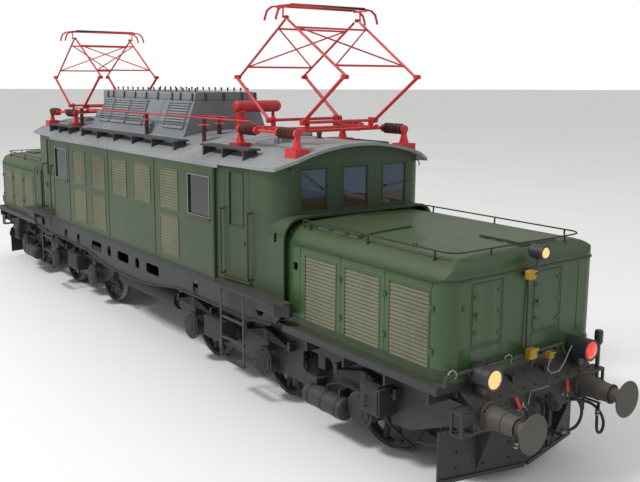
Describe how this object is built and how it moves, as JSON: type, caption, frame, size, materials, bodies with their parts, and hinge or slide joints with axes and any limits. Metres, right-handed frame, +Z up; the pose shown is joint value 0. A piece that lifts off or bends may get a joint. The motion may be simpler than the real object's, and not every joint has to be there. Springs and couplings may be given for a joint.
{
  "type": "electric locomotive",
  "caption": "Articulated electric freight locomotive with a cab body between two bogie-mounted noses, raised roof collectors, spoked wheels and screw couplings.",
  "frame": {"origin": "centre of the overall box in plan, at the lowest point of the wheel flanges", "axes": "+X towards the front end, +Y to the left side, +Z up"},
  "size_m": [18.6, 3.5, 6.0224],
  "materials": {
    "body_green": "satin, dusty",
    "buffer_steel": "greasy",
    "cab_interior": "satin",
    "cowl_blue": "matt",
    "frame_black": "dusty",
    "glass": "clear",
    "hose_rubber": "matt",
    "insulator": "glazed",
    "lamp_grey": "satin",
    "louvre_beige": "matt",
    "machine_grey": "matt",
    "panto_red": "worn gloss",
    "roof_grey": "matt, weathered",
    "step_grey": "matt",
    "wheel_steel": "dusty"
  },
  "bodies": {
    "loco_body": {"bridge_frame": "frame_black", "body_sides": "body_green", "cab_shell_front": "body_green", "cab_shell_rear": "body_green", "roof": "roof_grey", "window_glass": "glass", "body_louvres": "louvre_beige", "bulkheads": "cab_interior", "cab_fittings": "cab_interior", "transformer": "machine_grey", "roof_cowl": "cowl_blue", "roof_walkways": "step_grey", "roof_insulators": "insulator", "roof_conductors": "panto_red", "pantograph_bases": "panto_red", "cab_steps": "step_grey", "air_tanks": "frame_black"},
    "bogie_front": {"bogie_frame_front": "frame_black", "nose_shell_front": "body_green", "nose_louvres_front": "louvre_beige", "buffers_front": "buffer_steel", "headlamps_front": "lamp_grey", "coupling_front": "buffer_steel", "motors_front": "machine_grey", "plough_front": "frame_black", "brake_hoses_front": "hose_rubber"},
    "wheelset_front_1": {"wheelset_front_1": "wheel_steel"},
    "wheelset_front_2": {"wheelset_front_2": "wheel_steel"},
    "wheelset_front_3": {"wheelset_front_3": "wheel_steel"},
    "nose_door_front_right": {"nose_door_front_right": "body_green"},
    "nose_door_front_left": {"nose_door_front_left": "body_green"},
    "cab_door_front_left": {"cab_door_front_left": "body_green"},
    "cab_door_front_right": {"cab_door_front_right": "body_green"},
    "panto_front_low_out": {"panto_front_low_out": "panto_red"},
    "panto_front_low_in": {"panto_front_low_in": "panto_red"},
    "panto_front_up_out": {"panto_front_up_out": "panto_red"},
    "panto_front_up_in": {"panto_front_up_in": "panto_red"},
    "panto_front_head": {"panto_front_head": "panto_red"},
    "bogie_rear": {"bogie_frame_rear": "frame_black", "nose_shell_rear": "body_green", "nose_louvres_rear": "louvre_beige", "buffers_rear": "buffer_steel", "headlamps_rear": "lamp_grey", "coupling_rear": "buffer_steel", "motors_rear": "machine_grey", "plough_rear": "frame_black", "brake_hoses_rear": "hose_rubber"},
    "wheelset_rear_1": {"wheelset_rear_1": "wheel_steel"},
    "wheelset_rear_2": {"wheelset_rear_2": "wheel_steel"},
    "wheelset_rear_3": {"wheelset_rear_3": "wheel_steel"},
    "nose_door_rear_right": {"nose_door_rear_right": "body_green"},
    "nose_door_rear_left": {"nose_door_rear_left": "body_green"},
    "cab_door_rear_right": {"cab_door_rear_right": "body_green"},
    "cab_door_rear_left": {"cab_door_rear_left": "body_green"},
    "panto_rear_low_out": {"panto_rear_low_out": "panto_red"},
    "panto_rear_low_in": {"panto_rear_low_in": "panto_red"},
    "panto_rear_up_out": {"panto_rear_up_out": "panto_red"},
    "panto_rear_up_in": {"panto_rear_up_in": "panto_red"},
    "panto_rear_head": {"panto_rear_head": "panto_red"}
  },
  "joints": [
    {"name": "bogie_front_swivel", "type": "hinge", "parent": "loco_body", "child": "bogie_front", "pos_m": [4.55, 0, 1.15], "axis": [0, 0, 1], "range_deg": [-3, 3]},
    {"name": "wheelset_front_1_spin", "type": "hinge", "parent": "bogie_front", "child": "wheelset_front_1", "pos_m": [2.25, 0, 0.655], "axis": [0, 1, 0], "continuous": true},
    {"name": "wheelset_front_2_spin", "type": "hinge", "parent": "bogie_front", "child": "wheelset_front_2", "pos_m": [4.55, 0, 0.655], "axis": [0, 1, 0], "continuous": true},
    {"name": "wheelset_front_3_spin", "type": "hinge", "parent": "bogie_front", "child": "wheelset_front_3", "pos_m": [6.85, 0, 0.655], "axis": [0, 1, 0], "continuous": true},
    {"name": "nose_door_front_right_hinge", "type": "hinge", "parent": "bogie_front", "child": "nose_door_front_right", "pos_m": [8.436, -0.462, 2.23], "axis": [0, 0, 1], "range_deg": [0, 100]},
    {"name": "nose_door_front_left_hinge", "type": "hinge", "parent": "bogie_front", "child": "nose_door_front_left", "pos_m": [8.436, 0.622, 2.23], "axis": [0, 0, 1], "range_deg": [0, 100]},
    {"name": "cab_door_front_left_hinge", "type": "hinge", "parent": "loco_body", "child": "cab_door_front_left", "pos_m": [3.83634, 1.47742, 2.73], "axis": [0, 0, -1], "range_deg": [0, 85]},
    {"name": "cab_door_front_right_hinge", "type": "hinge", "parent": "loco_body", "child": "cab_door_front_right", "pos_m": [3.83634, -1.47742, 2.73], "axis": [0, 0, 1], "range_deg": [0, 85]},
    {"name": "panto_front_low_out_hinge", "type": "hinge", "parent": "loco_body", "child": "panto_front_low_out", "pos_m": [4.75, 0, 4.28], "axis": [0, 1, 0], "range_deg": [0, 35]},
    {"name": "panto_front_low_in_hinge", "type": "hinge", "parent": "loco_body", "child": "panto_front_low_in", "pos_m": [3.85, 0, 4.28], "axis": [0, -1, 0], "range_deg": [0, 35]},
    {"name": "panto_front_up_out_hinge", "type": "hinge", "parent": "panto_front_low_out", "child": "panto_front_up_out", "pos_m": [5.70513, 0, 4.94879], "axis": [0, -1, 0], "range_deg": [0, 53.96]},
    {"name": "panto_front_up_in_hinge", "type": "hinge", "parent": "panto_front_low_in", "child": "panto_front_up_in", "pos_m": [2.89487, 0, 4.94879], "axis": [0, 1, 0], "range_deg": [0, 53.96]},
    {"name": "panto_front_head_hinge", "type": "hinge", "parent": "panto_front_up_out", "child": "panto_front_head", "pos_m": [4.3, 0, 5.83265], "axis": [0, 1, 0], "range_deg": [0, 18.96]},
    {"name": "bogie_rear_swivel", "type": "hinge", "parent": "loco_body", "child": "bogie_rear", "pos_m": [-4.55, 0, 1.15], "axis": [0, 0, 1], "range_deg": [-3, 3]},
    {"name": "wheelset_rear_1_spin", "type": "hinge", "parent": "bogie_rear", "child": "wheelset_rear_1", "pos_m": [-2.25, 0, 0.655], "axis": [0, 1, 0], "continuous": true},
    {"name": "wheelset_rear_2_spin", "type": "hinge", "parent": "bogie_rear", "child": "wheelset_rear_2", "pos_m": [-4.55, 0, 0.655], "axis": [0, 1, 0], "continuous": true},
    {"name": "wheelset_rear_3_spin", "type": "hinge", "parent": "bogie_rear", "child": "wheelset_rear_3", "pos_m": [-6.85, 0, 0.655], "axis": [0, 1, 0], "continuous": true},
    {"name": "nose_door_rear_right_hinge", "type": "hinge", "parent": "bogie_rear", "child": "nose_door_rear_right", "pos_m": [-8.436, 0.462, 2.23], "axis": [0, 0, 1], "range_deg": [0, 100]},
    {"name": "nose_door_rear_left_hinge", "type": "hinge", "parent": "bogie_rear", "child": "nose_door_rear_left", "pos_m": [-8.436, -0.622, 2.23], "axis": [0, 0, 1], "range_deg": [0, 100]},
    {"name": "cab_door_rear_right_hinge", "type": "hinge", "parent": "loco_body", "child": "cab_door_rear_right", "pos_m": [-3.83634, -1.47742, 2.73], "axis": [0, 0, -1], "range_deg": [0, 85]},
    {"name": "cab_door_rear_left_hinge", "type": "hinge", "parent": "loco_body", "child": "cab_door_rear_left", "pos_m": [-3.83634, 1.47742, 2.73], "axis": [0, 0, 1], "range_deg": [0, 85]},
    {"name": "panto_rear_low_out_hinge", "type": "hinge", "parent": "loco_body", "child": "panto_rear_low_out", "pos_m": [-4.75, 0, 4.28], "axis": [0, -1, 0], "range_deg": [0, 35]},
    {"name": "panto_rear_low_in_hinge", "type": "hinge", "parent": "loco_body", "child": "panto_rear_low_in", "pos_m": [-3.85, 0, 4.28], "axis": [0, 1, 0], "range_deg": [0, 35]},
    {"name": "panto_rear_up_out_hinge", "type": "hinge", "parent": "panto_rear_low_out", "child": "panto_rear_up_out", "pos_m": [-5.70513, 0, 4.94879], "axis": [0, 1, 0], "range_deg": [0, 53.96]},
    {"name": "panto_rear_up_in_hinge", "type": "hinge", "parent": "panto_rear_low_in", "child": "panto_rear_up_in", "pos_m": [-2.89487, 0, 4.94879], "axis": [0, -1, 0], "range_deg": [0, 53.96]},
    {"name": "panto_rear_head_hinge", "type": "hinge", "parent": "panto_rear_up_out", "child": "panto_rear_head", "pos_m": [-4.3, 0, 5.83265], "axis": [0, -1, 0], "range_deg": [0, 18.96]}
  ],
  "couplings": [
    {"joint": "panto_front_low_in_hinge", "follows": "panto_front_low_out_hinge", "ratio": 1},
    {"joint": "panto_front_up_out_hinge", "follows": "panto_front_low_out_hinge", "ratio": 1.5414},
    {"joint": "panto_front_up_in_hinge", "follows": "panto_front_low_out_hinge", "ratio": 1.5414},
    {"joint": "panto_front_head_hinge", "follows": "panto_front_low_out_hinge", "ratio": 0.54141},
    {"joint": "panto_rear_low_in_hinge", "follows": "panto_rear_low_out_hinge", "ratio": 1},
    {"joint": "panto_rear_up_out_hinge", "follows": "panto_rear_low_out_hinge", "ratio": 1.5414},
    {"joint": "panto_rear_up_in_hinge", "follows": "panto_rear_low_out_hinge", "ratio": 1.5414},
    {"joint": "panto_rear_head_hinge", "follows": "panto_rear_low_out_hinge", "ratio": 0.54141}
  ]
}
